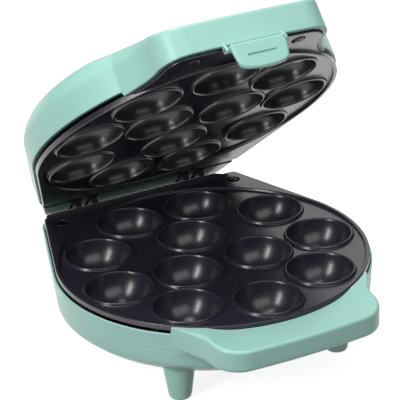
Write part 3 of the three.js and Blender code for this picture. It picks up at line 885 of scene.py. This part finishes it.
def latch_tab():
    tab = Shape()
    # from the pressed-in front edge back round the side to the back face
    steps = [(-1.5, -122.3), (-1.0, -122.22), (-0.6, -121.95), (-0.15, -121.5), (0, -121.2),
             (0, -119.9), (-0.3, -119.45), (-0.9, -119.3)]
    first, last = tab.loft([at(grown(latch_outline(), grow), y) for grow, y in steps])
    z = LATCH_Z - 6.8
    slot = arc(8.4, z, 0.8, -90, 90, 8) + arc(-8.4, z, 0.8, 90, 270, 8)
    mouth, floor = tab.loft([at(grown(slot, grow), y) for grow, y in [
        (0.35, -122.3), (0.12, -122.22), (0, -122.0), (-0.1, -121.3)]])
    tab.fill(first, mouth)
    tab.cap(floor)
    tab.cap(last)
    tab.move(INTO_XZ)
    knuckle = prism([Vector((LATCH_Y, LATCH_Z)) + p for p in circle(0, 0, 2, 32)],
                    -LATCH_HALF, LATCH_HALF, bevel=0.3, axis="X")
    web = prism(rectangle(LATCH_Y - 2.6, LATCH_Y, LATCH_Z - 1.6, LATCH_Z + 0.4),
                -LATCH_HALF + 0.4, LATCH_HALF - 0.4, bevel=0.2, axis="X")
    tab.join(knuckle).join(web)
    return tab.piece("latch_tab", "latch", "mint_plastic", ["latch"], MINT, lid=True)


# ---- fasteners and fittings ----
def cross_outline(x, y):
    """The mouth of a screw's cross recess."""
    arm = 0.42
    reach = SCREW_HEAD_R * 0.5
    cross = []
    for i in range(4):
        turn = Matrix.Rotation(i * math.pi / 2 + math.radians(20), 2)
        cross += [Vector((x, y)) + turn @ p
                  for p in corners((arm, arm), (reach, arm), (reach, -arm))]
    return sorted(cross, key=lambda p: math.atan2(p.y - y, p.x - x))


def cross_screw(x, y, seat):
    """A pan-head screw, head up, with a cross recess and a threaded shank."""
    r = SCREW_HEAD_R
    head = Shape()
    profile = [(r, 0.1), (r, 0.7), (r * 0.94, 1.15), (r * 0.78, 1.45), (r * 0.55, 1.6)]
    low, high = head.loft([at(circle(x, y, k, 48), seat + z) for k, z in profile])
    cross = cross_outline(x, y)
    bottom = [Vector((x, y)).lerp(p, 0.7) for p in cross]
    mouth, floor = head.loft([at(cross, seat + 1.6), at(bottom, seat + 0.7)])
    head.fill(high, mouth)
    head.cap(floor)
    shank = [(1.75, 0.1)]
    for i in range(9):
        z = -i * 1.4
        shank += [(1.75, z - 0.2), (1.4, z - 0.8)]
    shank += [(1.2, -13.6), (0.4, -15)]
    neck, tip = head.loft([at(circle(x, y, k, 24), seat + z) for k, z in shank])
    head.fill(low, neck)
    head.fan(tip, (x, y, seat - 15.2))
    return head


def side_name(x):
    return "right" if x > 0 else "left"


def screws():
    for x, y in LOWER_SCREWS:
        cross_screw(x, y, PART_Z + SCREW_SEAT).piece(
            f"plate_screw_{side_name(x)}", "base", "black_steel",
            [f"lower_plate_screw_{side_name(x)}"], BLACK_STEEL)
    # the third value is how far up from the rim's plane the head's seat lies
    for where, spots, depth in [("rear", REAR_SCREWS, 3.5), ("front", FRONT_SCREWS, 2.6)]:
        for x, y in spots:
            turned = Matrix.Translation((0, 0, LID_RIM_Z + depth)) @ UPSIDE_DOWN
            cross_screw(x, y, 0).move(turned).piece(
                f"lid_screw_{where}_{side_name(x)}", "lid", "black_steel",
                [f"upper_plate_screw_{where}_{side_name(x)}"], BLACK_STEEL, lid=True)


def feet_pads():
    profile = [(0, 0.0), (3.3, 0.0), (3.7, 0.12), (3.95, 0.45), (4.0, 1.2), (3.9, 1.5), (0, 1.5)]
    for corner, (x, y) in FEET.items():
        lathe(x, y, profile, 40).piece(f"pad_{corner}", "base", "rubber",
                                       [f"foot_pad_{corner}"], RUBBER)


def lamp_lenses():
    top = LID_FRONT_Z + (HANDLE_Y + LAMP_Y) * LID_SLOPE
    profile = [(0, 82.4), (2.9, 82.4), (2.9, top + 0.1), (2.75, top + 0.55), (2.3, top + 0.85),
               (1.4, top + 1.05), (0.5, top + 1.12), (0, top + 1.14)]
    for x, name, slot, material in [(-LAMP_X, "power", "lamp_red", RED),
                                    (LAMP_X, "ready", "lamp_green", GREEN)]:
        lathe(x, LAMP_Y, profile, 40).piece(f"{name}_lens", "lid", slot, [f"{name}_lamp_lens"],
                                            material, lid=True)


def inlet_bushing():
    """The cord's inlet: a collar with a rounded flange on the back wall."""
    wall_y = BASE_REAR - 1
    profile = [(3.5, -6), (6.0, -6), (6.0, 1.9), (7.4, 2.0), (7.6, 2.3), (7.6, 3.4), (7.2, 3.9),
               (4.4, 4.0), (3.8, 3.7), (3.5, 3.0)]
    shape = Shape()
    rows = [shape.ring(at(circle(0, 0, r, 48), z)) for r, z in profile]
    for a, b in zip(rows, rows[1:] + rows[:1]):
        shape.bridge(a, b)
    shape.move(Matrix.Translation((-45, wall_y, 37)) @ Matrix.Rotation(-math.pi / 2, 4, "X"))
    return shape.piece("inlet_bushing", "base", "rubber", ["cord_bushing"], RUBBER)


def keep_cad_nodes():
    """The inner pieces stay as they are and only get their finish."""
    finishes = {
        "lower_heating_element": STEEL, "upper_heating_element": STEEL,
        "lower_thermal_fuse": STEEL, "upper_thermal_fuse": STEEL,
        "thermostat": CERAMIC, "terminal_block": CERAMIC, "lamp_holder": DARK,
        "lower_element_wire": DARK, "thermostat_wire": DARK, "lid_wire": DARK,
        "hinge_pin_left": STEEL, "hinge_pin_right": STEEL, "latch_pin": STEEL,
    }
    for name, material in finishes.items():
        node = frame["nodes"][name]
        for slot in node.material_slots:
            slot.material = material
        if not node.material_slots:
            node.data.materials.append(material)


# ---- studio ----
def studio():
    bpy.ops.mesh.primitive_plane_add(size=6, location=(0, 0, 0))
    floor = bpy.context.object
    floor.name = "studio_floor"
    material, _, bsdf = new_material("studio_floor")
    bsdf.inputs["Base Color"].default_value = grey(0.5)
    bsdf.inputs["Roughness"].default_value = 0.9
    bsdf.inputs["Emission Color"].default_value = grey(1)
    bsdf.inputs["Emission Strength"].default_value = 0.85
    floor.data.materials.append(material)
    # the floor looks white, but throws no light up at the maker
    floor.visible_diffuse = False

    world = bpy.data.worlds.new("studio")
    world.use_nodes = True
    background = world.node_tree.nodes["Background"]
    background.inputs["Color"].default_value = (1, 1, 1, 1)
    background.inputs["Strength"].default_value = 0.06
    scene = bpy.context.scene
    scene.world = world
    scene.view_settings.view_transform = "Standard"

    target = Vector((0, 0, 0.08))
    # name, place, width and height, power
    lamps = [
        ("key", (-1.55, -0.6, 0.87), (0.35, 1.5), 22),
        ("front", (0.1, -1.5, 1.5), (2.2, 1.0), 13),
        ("top", (0.0, 0.2, 1.9), (1.2, 1.2), 29),
        ("back", (0.8, 1.9, 0.9), (1.8, 0.9), 6),
    ]
    for name, spot, size, power in lamps:
        light = bpy.data.lights.new(name, "AREA")
        light.shape = "RECTANGLE"
        light.size, light.size_y = size
        light.energy = power
        lamp = bpy.data.objects.new(name, light)
        lamp.location = spot
        lamp.rotation_euler = (target - Vector(spot)).to_track_quat("-Z", "Y").to_euler()
        scene.collection.objects.link(lamp)


def camera():
    """Stands where the photograph was taken from."""
    azimuth = math.radians(-26.863)
    elevation = math.radians(24.949)
    roll = math.radians(-2.366)
    distance = 1.15614
    target = Vector((-0.243, 10.073, 86.558)) * MM + Vector((0, SHIFT_Y, 0))
    right = Vector((math.cos(azimuth), math.sin(azimuth), 0))
    back = Vector((math.sin(azimuth) * math.cos(elevation),
                   -math.cos(azimuth) * math.cos(elevation), math.sin(elevation)))
    up = back.cross(right)
    turned_right = right * math.cos(roll) + up * math.sin(roll)
    turned_up = up * math.cos(roll) - right * math.sin(roll)
    data = bpy.data.cameras.new("camera")
    data.sensor_width = 36
    data.lens = 171.76
    data.shift_x = -0.005
    data.shift_y = 0.002
    data.clip_end = 20
    view = bpy.data.objects.new("camera", data)
    turn = Matrix((turned_right, turned_up, back)).transposed().to_4x4()
    view.matrix_world = Matrix.Translation(target + back * distance) @ turn
    bpy.context.scene.collection.objects.link(view)
    bpy.context.scene.camera = view


camera()
studio()
base_shell()
lower_plate()
lid_shell()
upper_plate()
latch_tab()
screws()
feet_pads()
lamp_lenses()
inlet_bushing()
keep_cad_nodes()
